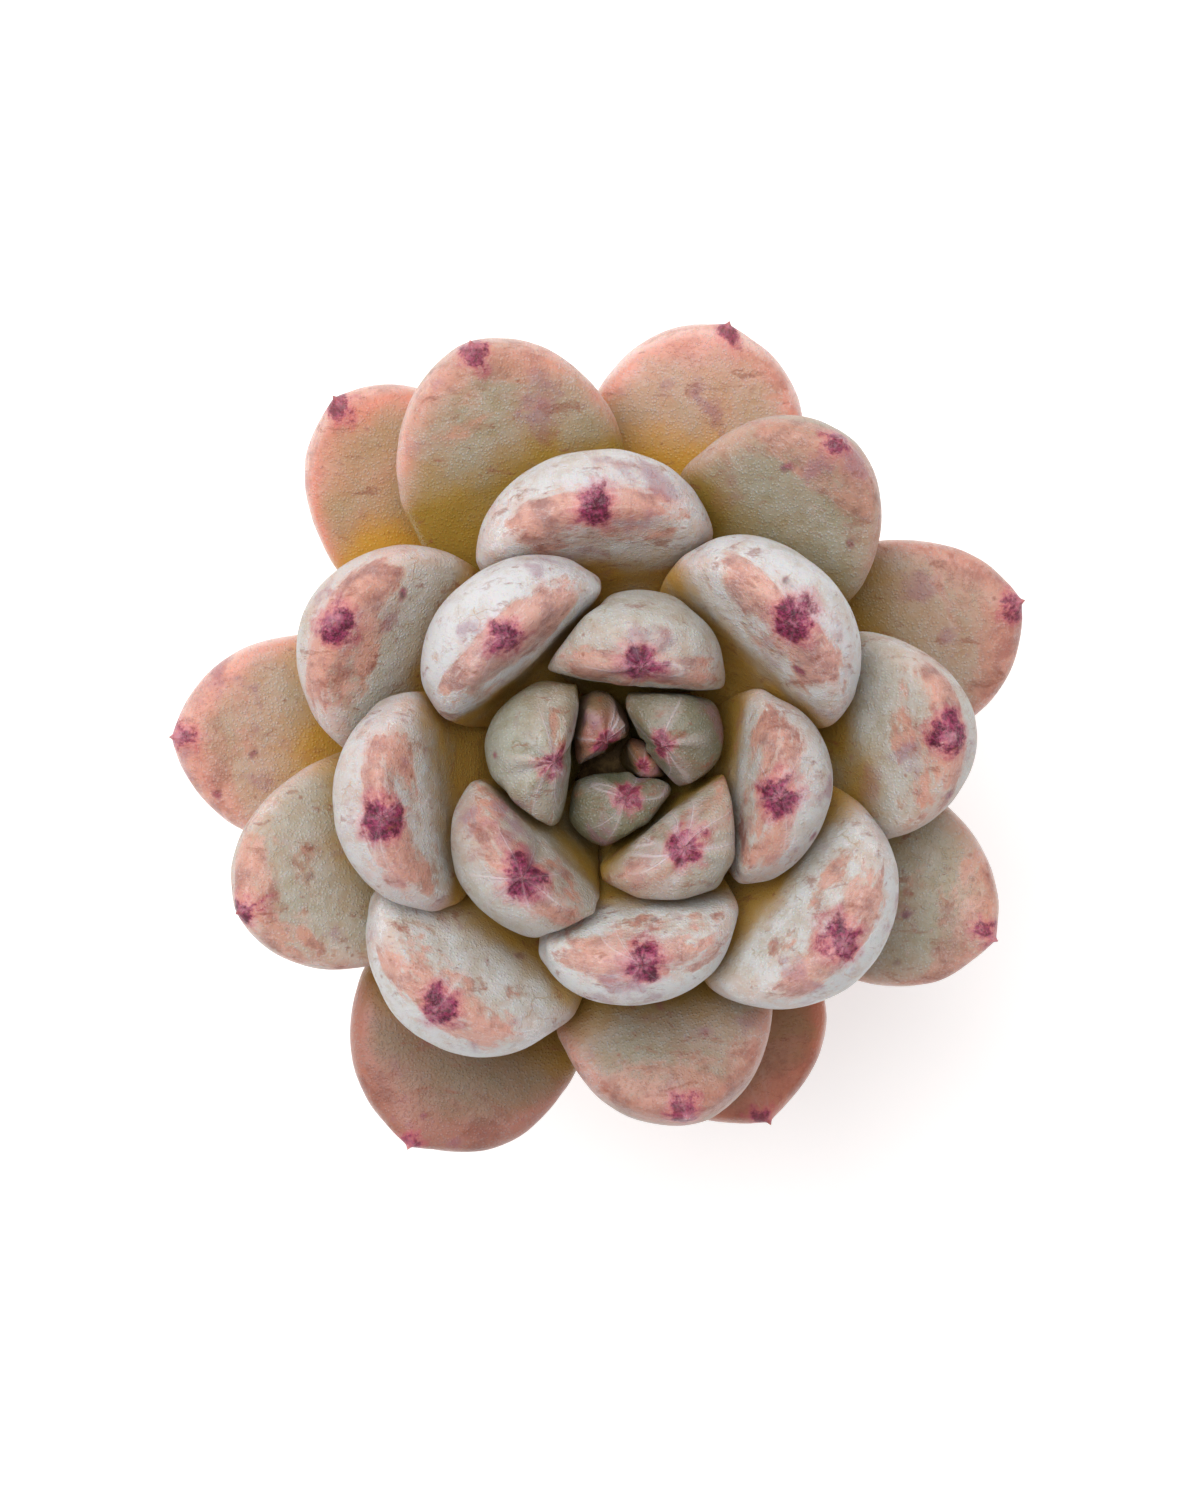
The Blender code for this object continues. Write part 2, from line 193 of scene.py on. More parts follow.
mix_shape = bmesh.new()
mix_profile = [(STEM_SOCKET, MIX_TOP - 1.2)]
mix_profile += [(r, mix_height(r)) for r in np.linspace(STEM_SOCKET, MIX_EDGE, 46)]
mix_profile += [(MIX_EDGE - 0.2, 38.0), (14.8, 6.0), (12.4, 4.0), (0.0, 4.0)]
line = [mix_shape.verts.new((r * MM, 0, z * MM)) for r, z in mix_profile]
edges = [mix_shape.edges.new(pair) for pair in zip(line, line[1:])]
bmesh.ops.spin(mix_shape, geom=line + edges, axis=(0, 0, 1), cent=(0, 0, 0), dvec=(0, 0, 0),
               angle=math.tau, steps=MIX_TURNS, use_merge=True, use_duplicate=False)
bmesh.ops.remove_doubles(mix_shape, verts=mix_shape.verts, dist=1e-7)
socket_edge = [edge for edge in mix_shape.edges if edge.is_boundary]
bmesh.ops.contextual_create(mix_shape, geom=socket_edge)
bmesh.ops.recalc_face_normals(mix_shape, faces=mix_shape.faces)
for vert in mix_shape.verts:
    where = vert.co / MM
    if where.z > MIX_TOP - 0.5 and where.xy.length < MIX_EDGE - 0.1:
        crumb = noise.noise(where * 0.7) * 0.6 + noise.noise(where * 1.9) * 0.35
        crumb += noise.noise(where * 4.5) * 0.14
        vert.co.z += crumb * MM * 0.9

soil, tree, shader = new_material("Peat and grit potting mix")
place = add_node(tree, "TexCoord").outputs["Object"]
crumb = add_node(tree, "TexNoise", {"Vector": place, "Scale": 700, "Detail": 8, "Roughness": 0.75}).outputs[0]
flake = add_node(tree, "TexVoronoi", {"Vector": place, "Scale": 1100, "Randomness": 1}).outputs
tone = add_node(tree, "Mix", {0: crumb, 6: linear("#1d120b"), 7: linear("#5b4130")},
                data_type="RGBA").outputs[2]
pale = add_node(tree, "MapRange", {0: flake["Color"], 1: 0.78, 2: 0.9, 3: 0.0, 4: 0.55}).outputs[0]
tone = add_node(tree, "Mix", {0: pale, 6: tone, 7: linear("#8b7258")}, data_type="RGBA").outputs[2]
tree.links.new(tone, shader.inputs["Base Color"])
shader.inputs["Roughness"].default_value = 0.95
grain = add_node(tree, "Bump", {"Strength": 0.9, "Distance": 0.0006, "Height": crumb}).outputs[0]
grain = add_node(tree, "Bump",
                 {"Strength": 0.6, "Distance": 0.0003, "Height": flake["Distance"],
                  "Normal": grain}).outputs[0]
tree.links.new(grain, shader.inputs["Normal"])
add_piece("mix_bed", mix_shape, soil, "potting_mix", "potting_mix")

# Loose stones on the bed: pumice, crushed brick and dark grit of 0.7 to 2.6 mm, each a
# lump with a few dozen faces, pressed a little way into the peat.
STONES = 520
grit_shape = bmesh.new()
draw = random.Random(11)
grit_tone = grit_shape.verts.layers.float.new("grit_tone")
for number in range(STONES):
    size = 0.35 + 0.95 * draw.random() ** 2.2
    radius = math.sqrt(draw.uniform((STEM_SOCKET + 0.8) ** 2, (MIX_EDGE - 0.9 - size * 0.5) ** 2))
    turn = draw.uniform(0, math.tau)
    detail = 2 if size > 0.8 else 1
    lump = bmesh.ops.create_icosphere(grit_shape, subdivisions=detail, radius=size * MM)["verts"]
    shift, tone = Vector((number * 1.7, 3.1, 0.4)), draw.random()
    squash = Matrix.Diagonal((draw.uniform(0.75, 1.25), draw.uniform(0.75, 1.25), draw.uniform(0.55, 0.9)))
    facing, tilt = draw.uniform(0, math.tau), draw.uniform(-0.7, 0.7)
    spin = Matrix.Rotation(facing, 3, "Z") @ Matrix.Rotation(tilt, 3, "X")
    bed = mix_height(radius) + size * 0.2
    centre = Vector((radius * math.cos(turn), radius * math.sin(turn), bed)) * MM
    for vert in lump:
        out = vert.co.normalized()
        vert.co *= 1 + 0.34 * noise.noise(out * 1.6 + shift)
        vert.co = spin @ squash @ vert.co + centre
        vert[grit_tone] = tone

stone, tree, shader = new_material("Pumice and crushed stone")
place = add_node(tree, "TexCoord").outputs["Object"]
tone = add_node(tree, "Attribute", attribute_name="grit_tone").outputs["Fac"]
fine = add_node(tree, "TexNoise", {"Vector": place, "Scale": 3000, "Detail": 5, "Roughness": 0.7}).outputs[0]
ramp = add_node(tree, "ValToRGB", {0: tone})
ramp.color_ramp.interpolation = "CONSTANT"
stone_colours = ((0.0, "#3d2e25"), (0.3, "#6d5a4a"), (0.5, "#9c8f80"), (0.66, "#cfc6b8"), (0.85, "#a4694c"))
for at, colour in stone_colours:
    stop = ramp.color_ramp.elements[0] if at == 0 else ramp.color_ramp.elements.new(at)
    stop.color = linear(colour)
ramp.color_ramp.elements[-1].color = linear("#b9a894")
shade = add_node(tree, "MapRange", {0: fine, 1: 0.3, 2: 0.7, 3: 0.72, 4: 1.1}).outputs[0]
tint = add_node(tree, "VectorMath", {0: ramp.outputs[0], "Scale": shade}, operation="SCALE").outputs[0]
tree.links.new(tint, shader.inputs["Base Color"])
shader.inputs["Roughness"].default_value = 0.9
grain = add_node(tree, "Bump", {"Strength": 0.8, "Distance": 0.00015, "Height": fine}).outputs[0]
tree.links.new(grain, shader.inputs["Normal"])
add_piece("mix_stones", grit_shape, stone, "potting_mix")

# ---------------------------------------------------------------- stem
# The plant's own short stem: fleshy inside, with a thin brown corky bark in fine lengthwise
# fibres and shallow rings. It leans with the rosette, and its root end is in the mix.


def merged_copy(node):
    """A bmesh of a CAD node with its loose triangles joined up."""
    shape = bmesh.new()
    shape.from_mesh(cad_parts[node].data)
    bmesh.ops.remove_doubles(shape, verts=shape.verts, dist=1e-6)
    return shape


stem_shape = merged_copy("stem")
bmesh.ops.join_triangles(stem_shape, faces=stem_shape.faces, angle_face_threshold=math.pi,
                         angle_shape_threshold=math.pi)
bmesh.ops.subdivide_edges(stem_shape, edges=stem_shape.edges, cuts=5, use_grid_fill=True, smooth=0.6)
stem_shape.normal_update()
for vert in stem_shape.verts:
    where = vert.co / MM
    ring = math.sin(where.z * 2.4 + 1.5 * noise.noise(where * 0.25)) * 0.09
    rough = noise.noise(where * 1.3) * 0.14 + noise.noise(where * 3.4) * 0.06
    vert.co += vert.normal * (ring + rough - 0.1) * MM

bark, tree, shader = new_material("Corky succulent stem")
place = add_node(tree, "TexCoord").outputs["Object"]
blotch = add_node(tree, "TexNoise",
                  {"Vector": place, "Scale": 260, "Detail": 6, "Roughness": 0.65}).outputs[0]
long = add_node(tree, "Mapping", {"Vector": place, "Scale": (1500, 1500, 260)}).outputs[0]
fibre = add_node(tree, "TexNoise", {"Vector": long, "Scale": 1, "Detail": 4, "Roughness": 0.6}).outputs[0]
tone = add_node(tree, "Mix", {0: blotch, 6: linear("#5b3f22"), 7: linear("#94794a")},
                data_type="RGBA").outputs[2]
dark = add_node(tree, "MapRange", {0: fibre, 1: 0.42, 2: 0.62, 3: 0.6, 4: 0.0}).outputs[0]
tone = add_node(tree, "Mix", {0: dark, 6: tone, 7: linear("#3b2614")}, data_type="RGBA").outputs[2]
tree.links.new(tone, shader.inputs["Base Color"])
shader.inputs["Roughness"].default_value = 0.82
grain = add_node(tree, "Bump", {"Strength": 0.7, "Distance": 0.0003, "Height": fibre}).outputs[0]
tree.links.new(grain, shader.inputs["Normal"])
add_piece("stem_bark", stem_shape, bark, "stem_bark", "stem")

# ---------------------------------------------------------------- leaves
# Thick water-storing leaves, flat on the inner face and round on the back, which stand on the
# stem in one spiral. Their skin is green to rosy flesh under a white wax bloom that rubs off.

LEAF_COLUMNS, LEAF_RINGS = 16, 12  # of the CAD leaves
LEAF_POINT = 0.5  # how far the CAD tip stands out, in mm
FINE_COLUMNS, FINE_RINGS = 112, 112
FACE_FLATNESS = 0.85  # of its swell, beyond which the inner face is flat
LEAN, LEAN_TOWARDS = math.radians(6.0), math.radians(-56)
# the foot colour grows in over this length: the foot's glassy ochre, together with painted shade and painted
# glow in the gaps between leaves
GLASS_AND_GAP_LIGHT_LENGTH = 6.0  # mm over which the foot turns glassy
FIRST_OLD_LEAF, OLD_OVER = 16, 4  # leaves older than the first grow a long point, fully after four more
hinge = Vector((-math.sin(LEAN_TOWARDS), math.cos(LEAN_TOWARDS), 0))
rosette_axis = Vector((0, 0, 1))
rosette_axis.rotate(Matrix.Rotation(LEAN, 3, hinge))

# How each leaf's skin looks: green flesh, rosy flesh, rubbed strokes, white lines at the tip,
# radius of the crimson tip in mm, bloom, and how much painted shade darkens a leaf that lies in the shade of
# others.
leaf_looks = {
    1: (0.6, 0.5, 0.1, 0.4, 0.6, 0.1, 1.0),
    2: (0.35, 0.7, 0.3, 0.9, 0.8, 0.2, 0.9),
    3: (1.0, 0.1, 0.3, 0.6, 0.8, 0.36, 0.66),
    4: (0.9, 0.15, 0.3, 0.7, 0.85, 0.42, 0.66),
    5: (0.8, 0.2, 0.4, 0.9, 1.1, 0.7, 0.3),
    6: (0.5, 0.35, 0.6, 1.0, 1.25, 0.66, 0.3),
    7: (0.45, 0.35, 0.7, 0.8, 1.4, 0.82, 0.15),
    8: (0.4, 0.35, 0.7, 0.8, 1.4, 0.8, 0.25),
    9: (0.3, 0.45, 0.8, 0.5, 1.5, 0.92, 0.15),
    10: (0.2, 0.45, 0.9, 0.3, 1.45, 1.15, 0.0),
    11: (0.3, 0.45, 0.8, 0.5, 1.45, 1.15, 0.0),
    12: (0.2, 0.4, 0.85, 0.4, 1.5, 1.05, 0.0),
    13: (0.25, 0.5, 0.85, 0.5, 1.4, 0.95, 0.1),
    14: (0.3, 0.4, 0.8, 0.4, 1.45, 1.1, 0.05),
    15: (0.2, 0.5, 0.95, 0.2, 1.5, 0.95, 0.0),
    16: (0.3, 0.4, 0.8, 0.3, 1.4, 1.05, 0.05),
    17: (0.4, 0.4, 0.75, 0.15, 1.3, 0.85, 0.1),
    18: (0.3, 0.5, 0.95, 0.2, 1.4, 0.8, 0.05),
    19: (0.4, 0.8, 0.85, 0.1, 1.1, 0.55, 0.45),
    20: (0.6, 0.4, 0.8, 0.1, 1.0, 0.55, 0.2),
    21: (0.45, 0.55, 0.7, 0.1, 0.95, 0.7, 0.05),
    22: (0.5, 0.55, 0.7, 0.1, 0.95, 0.56, 0.12),
    23: (0.5, 0.7, 0.7, 0.1, 1.1, 0.44, 0.1),
    24: (0.15, 1.25, 0.9, 0.1, 0.9, 0.28, 0.75),
    25: (0.35, 0.9, 0.85, 0.1, 1.05, 0.46, 0.2),
    26: (0.15, 1.0, 0.9, 0.1, 1.15, 0.44, 0.0),
    27: (0.0, 1.6, 0.95, 0.1, 0.9, 0.0, 0.5),
    28: (0.0, 1.1, 0.7, 0.1, 1.0, 0.38, 0.0),
    29: (0.0, 1.1, 0.6, 0.1, 0.9, 0.22, 0.05),
}


def ring_walk(ring, out):
    """A ring's vertices in order, turning right-handed about the outward direction."""
    members, walk = set(ring), [ring[0]]
    while len(walk) < len(ring):
        near = [edge.other_vert(walk[-1]) for edge in walk[-1].link_edges]
        walk.append(next(vert for vert in near if vert in members and vert not in walk))
    points = np.array([vert.co for vert in walk])
    turn = np.cross(points, np.roll(points, -1, axis=0)).sum(axis=0)
    return points if turn @ out > 0 else points[::-1]


def leaf_grid(node):
    """A CAD leaf's points as rings from tip to foot, column 0 at one margin and 4 on the face."""
    shape = merged_copy(node)
    poles = [vert for vert in shape.verts if len(vert.link_edges) == LEAF_COLUMNS]
    tip, foot = sorted(poles, key=lambda vert: -vert.co.z)
    up = (tip.co - foot.co).normalized()
    side = rosette_axis.cross(up).normalized()
    face = up.cross(side)
    rings, seen, ring = [], {tip}, [tip]
    while ring:
        near = [edge.other_vert(vert) for vert in ring for edge in vert.link_edges]
        ring = list(dict.fromkeys(vert for vert in near if vert not in seen))
        seen.update(ring)
        if len(ring) == LEAF_COLUMNS:
            rings.append(ring_walk(ring, np.array(up)))
    turn = np.arange(LEAF_COLUMNS) * math.tau / LEAF_COLUMNS
    ideal = np.outer(np.cos(turn), side) + np.outer(np.sin(turn), face)
    grid = np.zeros((LEAF_RINGS + 1, LEAF_COLUMNS, 3))
    middle = LEAF_RINGS // 2 - 1
    for start, step in ((middle, 1), (middle, -1)):
        like = ideal
        k = start
        while 0 <= k < len(rings):
            points = rings[k]
            flat = points - points.mean(axis=0)
            best = max(range(LEAF_COLUMNS), key=lambda n: (np.roll(flat, n, axis=0) * like).sum())
            grid[k + 1] = np.roll(points, best, axis=0)
            like = grid[k + 1] - points.mean(axis=0)
            k += step
    point = np.array(tip.co)
    out = point - grid[1].mean(axis=0)
    grid[0] = point - out / np.linalg.norm(out) * LEAF_POINT * MM
    grid[-1] = np.array(foot.co)
    shape.free()
    return grid


def blend_four(values, at, period):
    """Values sampled at fractional places along the first axis, through four neighbours each."""
    base = np.floor(at).astype(int)
    t = (at - base).reshape((-1,) + (1,) * (values.ndim - 1))
    a, b, c, d = (values[(base + k) % period] for k in (-1, 0, 1, 2))
    return between(a, b, c, d, t)


def leaf_channels(grid):
    """At each CAD point: x, y, z, then side, out and along in mm, the swell, the face's direction."""
    tip = grid[0, 0]
    middle = (grid[:, 0] + grid[:, LEAF_COLUMNS // 2]) / 2
    middle[0], middle[-1] = tip, grid[-1, 0]
    side = grid[:, 0] - grid[:, LEAF_COLUMNS // 2]
    side[0], side[-1] = side[1], side[-2]
    side /= np.linalg.norm(side, axis=1)[:, None]
    run = np.gradient(middle, axis=0) * -1
    face = np.cross(run, side)
    face /= np.linalg.norm(face, axis=1)[:, None]
    away = (grid - middle[:, None]) / MM
    along = np.concatenate([[0], np.cumsum(np.linalg.norm(np.diff(middle, axis=0), axis=1))]) / MM
    ones = np.ones(LEAF_COLUMNS)
    polar = np.arange(LEAF_RINGS + 1) * math.pi / LEAF_RINGS
    turn = np.arange(LEAF_COLUMNS) * math.tau / LEAF_COLUMNS
    channels = [
        grid[..., 0], grid[..., 1], grid[..., 2],
        (away * side[:, None]).sum(axis=-1), (away * face[:, None]).sum(axis=-1), np.outer(along, ones),
        np.outer(np.sin(polar), np.sin(turn)), *[np.outer(face[:, k], ones) for k in range(3)],
    ]
    return np.stack(channels, axis=-1)


skin, tree, shader = new_material("Bloomed succulent leaf")
place = add_node(tree, "TexCoord").outputs["Object"]
spot_place = add_node(tree, "Attribute", attribute_name="leaf_place").outputs["Vector"]
kinds = []
for attribute in ("leaf_shape_and_painted_light", "leaf_kind", "leaf_wear"):
    read = add_node(tree, "Attribute", attribute_name=attribute).outputs["Vector"]
    kinds += list(add_node(tree, "SeparateXYZ", {0: read}).outputs)
foot_and_painted_gap_light, swell, painted_shade, green, rosy, bloom, rubbed, lines, spot = kinds
side, out, along = add_node(tree, "SeparateXYZ", {0: spot_place}).outputs
from_tip = add_node(tree, "VectorMath", {0: spot_place}, operation="LENGTH").outputs["Value"]
coarse = add_node(tree, "TexNoise", {"Vector": place, "Scale": 170, "Detail": 3, "Roughness": 0.5}).outputs[0]
mottle = add_node(tree, "TexNoise",
                  {"Vector": place, "Scale": 560, "Detail": 6, "Roughness": 0.68}).outputs[0]
fine = add_node(tree, "TexNoise", {"Vector": place, "Scale": 3400, "Detail": 2, "Roughness": 0.6}).outputs[0]
other = add_node(tree, "VectorMath", {0: place, 1: (0.3, 0.7, 0.2)}, operation="ADD").outputs[0]
cloud = add_node(tree, "TexNoise", {"Vector": other, "Scale": 330, "Detail": 5, "Roughness": 0.62}).outputs[0]
bend = add_node(tree, "VectorMath", {0: place, "Scale": 60.0}, operation="SCALE").outputs[0]

# flesh: green when young, greyed tan when old, rosy towards the margins, ochre and glassy at the foot, with
# painted light laid over the foot: a painted yellow glow on old leaves and painted dark shade on young ones,
# where the foot goes in among the other leaves
tone = add_node(tree, "Mix", {0: green, 6: linear("#a0854f"), 7: linear("#666839")},
                data_type="RGBA").outputs[2]
flat = add_node(tree, "Math", {0: swell}, operation="ABSOLUTE").outputs[0]
margin = add_node(tree, "MapRange", {0: flat, 1: 0.75, 2: 0.1, 3: 0.0, 4: 1.0},
                  interpolation_type="SMOOTHSTEP").outputs[0]
blush = add_node(tree, "Math", {0: margin, 1: 0.3}, operation="ADD").outputs[0]
blush = add_node(tree, "Math", {0: blush, 1: rosy}, operation="MULTIPLY").outputs[0]
warmth = add_node(tree, "MapRange", {0: coarse, 1: 0.3, 2: 0.62, 3: 0.3, 4: 1.3}).outputs[0]
blush = add_node(tree, "Math", {0: blush, 1: warmth}, operation="MULTIPLY", use_clamp=True).outputs[0]
tone = add_node(tree, "Mix", {0: blush, 6: tone, 7: linear("#da876a")}, data_type="RGBA").outputs[2]
# painted light: a pale pink glow painted along the thin margins of rosy leaves, standing in for light shining
# through the edge; painted shade takes it away
painted_edge_glow = add_node(tree, "MapRange", {0: flat, 1: 0.34, 2: 0.04, 3: 0.0, 4: 0.75},
                interpolation_type="SMOOTHSTEP").outputs[0]
painted_edge_glow = add_node(tree, "Math", {0: painted_edge_glow, 1: rosy}, operation="MULTIPLY").outputs[0]
painted_edge_glow = add_node(tree, "Math", {0: painted_edge_glow, 1: painted_shade}, operation="SUBTRACT", use_clamp=True).outputs[0]
tone = add_node(tree, "Mix", {0: painted_edge_glow, 6: tone, 7: linear("#eac6ba")}, data_type="RGBA").outputs[2]
# the foot: its own glassy ochre, and with it a painted glow on old leaves and painted shade on young ones, in
# the gaps where the foot goes in among the leaves in front
uneven = add_node(tree, "MapRange", {0: coarse, 1: 0.3, 2: 0.7, 3: -0.3, 4: 0.3}).outputs[0]
foot_and_painted_gap_light = add_node(tree, "Math", {0: foot_and_painted_gap_light, 1: uneven}, operation="ADD").outputs[0]
foot_and_painted_gap_light = add_node(tree, "MapRange", {0: foot_and_painted_gap_light, 1: 0.1, 2: 1.0, 3: 0.0, 4: 1.0},
                interpolation_type="SMOOTHSTEP").outputs[0]
glassy_foot_and_painted_gap_light = add_node(tree, "Mix", {0: green, 6: linear("#c9963a"), 7: linear("#646020")},
                 data_type="RGBA").outputs[2]
tone = add_node(tree, "Mix", {0: foot_and_painted_gap_light, 6: tone, 7: glassy_foot_and_painted_gap_light}, data_type="RGBA").outputs[2]

# rubbed skin: warm strokes on both sides of the tip, along the ridge between face and back
stroke = add_node(tree, "VectorMath", {0: spot_place, 1: (0.16, 0.55, 0.3)}, operation="MULTIPLY").outputs[0]
stroke = add_node(tree, "VectorMath", {0: stroke, 1: bend}, operation="ADD").outputs[0]
strokes = add_node(tree, "TexNoise",
                   {"Vector": stroke, "Scale": 1.5, "Detail": 7, "Roughness": 0.66}).outputs[0]
away = add_node(tree, "Math", {0: side}, operation="ABSOLUTE").outputs[0]
long = add_node(tree, "MapRange", {0: away, 1: 9.0, 2: 4.5, 3: 0.0, 4: 1.0},
                interpolation_type="SMOOTHSTEP").outputs[0]
wide = add_node(tree, "Math", {0: out, 1: 0.1}, operation="SUBTRACT").outputs[0]
wide = add_node(tree, "Math", {0: wide}, operation="ABSOLUTE").outputs[0]
wide = add_node(tree, "MapRange", {0: wide, 1: 2.8, 2: 0.5, 3: 0.0, 4: 1.0},
                interpolation_type="SMOOTHSTEP").outputs[0]
near = add_node(tree, "MapRange", {0: along, 1: 9.0, 2: 3.5, 3: 0.0, 4: 1.0},
                interpolation_type="SMOOTHSTEP").outputs[0]
patch = add_node(tree, "Math", {0: long, 1: wide}, operation="MULTIPLY").outputs[0]
patch = add_node(tree, "Math", {0: patch, 1: near}, operation="MULTIPLY").outputs[0]
patch = add_node(tree, "Math", {0: patch, 1: rubbed}, operation="MULTIPLY").outputs[0]
patch = add_node(tree, "Math", {0: patch, 1: 0.44}, operation="MULTIPLY").outputs[0]
patch = add_node(tree, "Math", {0: patch, 1: strokes}, operation="ADD").outputs[0]
patch = add_node(tree, "MapRange", {0: patch, 1: 0.66, 2: 0.83, 3: 0.0, 4: 1.0},
                 interpolation_type="SMOOTHSTEP").outputs[0]
faint = add_node(tree, "MapRange", {0: bloom, 1: 0.3, 2: 0.8, 3: 0.5, 4: 0.88}).outputs[0]
patch = add_node(tree, "Math", {0: patch, 1: faint}, operation="MULTIPLY").outputs[0]

# wax bloom: white powder with a grain of 0.3 mm, thin on young skin, in the rubbed strokes and
# at the foot, and scratched through in fine branching lines
cover = add_node(tree, "MapRange", {0: mottle, 1: 0.34, 2: 0.6, 3: 0.62, 4: 1.0},
                 interpolation_type="SMOOTHSTEP").outputs[0]
back = add_node(tree, "MapRange", {0: out, 1: 1.5, 2: -2.5, 3: 0.92, 4: 1.1},
                interpolation_type="SMOOTHSTEP").outputs[0]
cover = add_node(tree, "Math", {0: cover, 1: back}, operation="MULTIPLY").outputs[0]
bead = add_node(tree, "TexVoronoi", {"Vector": place, "Scale": 3600, "Randomness": 0.9}).outputs["Distance"]
bead = add_node(tree, "MapRange", {0: bead, 1: 0.5, 2: 0.1, 3: 0.0, 4: 1.0},
                interpolation_type="SMOOTHSTEP").outputs[0]
dust = add_node(tree, "Math", {0: fine, 1: bead}, operation="ADD").outputs[0]
dust = add_node(tree, "MapRange", {0: dust, 1: 0.4, 2: 1.3, 3: -0.5, 4: 0.5}).outputs[0]
sandy = add_node(tree, "MapRange", {0: bloom, 1: 0.3, 2: 0.9, 3: 0.7, 4: 0.26}).outputs[0]
powder = add_node(tree, "Math", {0: dust, 1: sandy}, operation="MULTIPLY").outputs[0]
powder = add_node(tree, "Math", {0: powder, 1: 1.0}, operation="ADD").outputs[0]
cover = add_node(tree, "Math", {0: cover, 1: powder}, operation="MULTIPLY").outputs[0]
cover = add_node(tree, "Math", {0: cover, 1: bloom}, operation="MULTIPLY").outputs[0]
curl = add_node(tree, "TexNoise", {"Vector": place, "Scale": 420, "Detail": 3}).outputs["Color"]
curl = add_node(tree, "VectorMath", {0: curl, "Scale": 0.0022}, operation="SCALE").outputs[0]
curl = add_node(tree, "VectorMath", {0: curl, 1: place}, operation="ADD").outputs[0]
crack = add_node(tree, "TexVoronoi", {"Vector": curl, "Scale": 380, "Randomness": 1},
                 feature="DISTANCE_TO_EDGE").outputs[0]
crack = add_node(tree, "MapRange", {0: crack, 1: 0.03, 2: 0.004, 3: 0.0, 4: 0.5},
                 interpolation_type="SMOOTHSTEP").outputs[0]
worn = add_node(tree, "MapRange", {0: cloud, 1: 0.52, 2: 0.6, 3: 0.0, 4: 1.0},
                interpolation_type="SMOOTHSTEP").outputs[0]
crack = add_node(tree, "Math", {0: crack, 1: worn}, operation="MULTIPLY").outputs[0]
bare = add_node(tree, "Math", {0: patch, 1: 0.88}, operation="MULTIPLY").outputs[0]
bare = add_node(tree, "Math", {0: foot_and_painted_gap_light, 1: bare}, operation="MAXIMUM").outputs[0]
bare = add_node(tree, "Math", {0: crack, 1: bare}, operation="MAXIMUM").outputs[0]
bare = add_node(tree, "Math", {0: bare, 1: 0.94}, operation="MULTIPLY").outputs[0]
bare = add_node(tree, "Math", {0: 1.0, 1: bare}, operation="SUBTRACT").outputs[0]
cover = add_node(tree, "Math", {0: cover, 1: bare}, operation="MULTIPLY", use_clamp=True).outputs[0]
warm = add_node(tree, "Math", {0: mottle, 1: cloud}, operation="ADD").outputs[0]
warm = add_node(tree, "MapRange", {0: warm, 1: 0.78, 2: 1.12, 3: 0.0, 4: 1.0},
                interpolation_type="SMOOTHSTEP").outputs[0]
warm = add_node(tree, "Mix", {0: warm, 6: linear("#8f4b40"), 7: linear("#cc8871")},
                data_type="RGBA").outputs[2]
tone = add_node(tree, "Mix", {0: patch, 6: tone, 7: warm}, data_type="RGBA").outputs[2]
wax = add_node(tree, "Mix", {0: green, 6: linear("#cccacd"), 7: linear("#bcc0b3")},
               data_type="RGBA").outputs[2]
tone = add_node(tree, "Mix", {0: cover, 6: tone, 7: wax}, data_type="RGBA").outputs[2]
chalk = add_node(tree, "Math", {0: strokes, 1: 0.54}, operation="SUBTRACT").outputs[0]
chalk = add_node(tree, "Math", {0: chalk}, operation="ABSOLUTE").outputs[0]
chalk = add_node(tree, "MapRange", {0: chalk, 1: 0.016, 2: 0.002, 3: 0.0, 4: 1.0}).outputs[0]
chalk = add_node(tree, "Math", {0: chalk, 1: near}, operation="MULTIPLY").outputs[0]
chalk = add_node(tree, "Math", {0: chalk, 1: wide}, operation="MULTIPLY").outputs[0]
chalk = add_node(tree, "Math", {0: chalk, 1: cover}, operation="MULTIPLY").outputs[0]
tone = add_node(tree, "Mix", {0: chalk, 6: tone, 7: linear("#e4e0e1")}, data_type="RGBA").outputs[2]

# white lines that run out from the tip over the ribs of a leaf that has just opened
ray = add_node(tree, "CombineXYZ", {0: side, 1: out}).outputs[0]
ray = add_node(tree, "VectorMath", {0: ray}, operation="NORMALIZE").outputs[0]
ray = add_node(tree, "VectorMath", {0: ray, 1: bend}, operation="ADD").outputs[0]
ribs = add_node(tree, "TexNoise", {"Vector": ray, "Scale": 0.75, "Detail": 1}).outputs[0]
ribs = add_node(tree, "Math", {0: ribs, 1: 0.5}, operation="SUBTRACT").outputs[0]
ribs = add_node(tree, "Math", {0: ribs}, operation="ABSOLUTE").outputs[0]
crest = add_node(tree, "MapRange", {0: ribs, 1: 0.07, 2: 0.0, 3: 0.0, 4: 0.38},
                 interpolation_type="SMOOTHSTEP").outputs[0]
ribs = add_node(tree, "MapRange", {0: ribs, 1: 0.012, 2: 0.001, 3: 0.0, 4: 1.0},
                interpolation_type="SMOOTHSTEP").outputs[0]
ribs = add_node(tree, "Math", {0: ribs, 1: crest}, operation="MAXIMUM").outputs[0]
fade = add_node(tree, "MapRange", {0: from_tip, 1: 6.5, 2: 1.0, 3: 0.0, 4: 1.0},
                interpolation_type="SMOOTHSTEP").outputs[0]
ribs = add_node(tree, "Math", {0: ribs, 1: fade}, operation="MULTIPLY").outputs[0]
ribs = add_node(tree, "Math", {0: ribs, 1: lines}, operation="MULTIPLY").outputs[0]
tone = add_node(tree, "Mix", {0: ribs, 6: tone, 7: linear("#dcd5d4")}, data_type="RGBA").outputs[2]
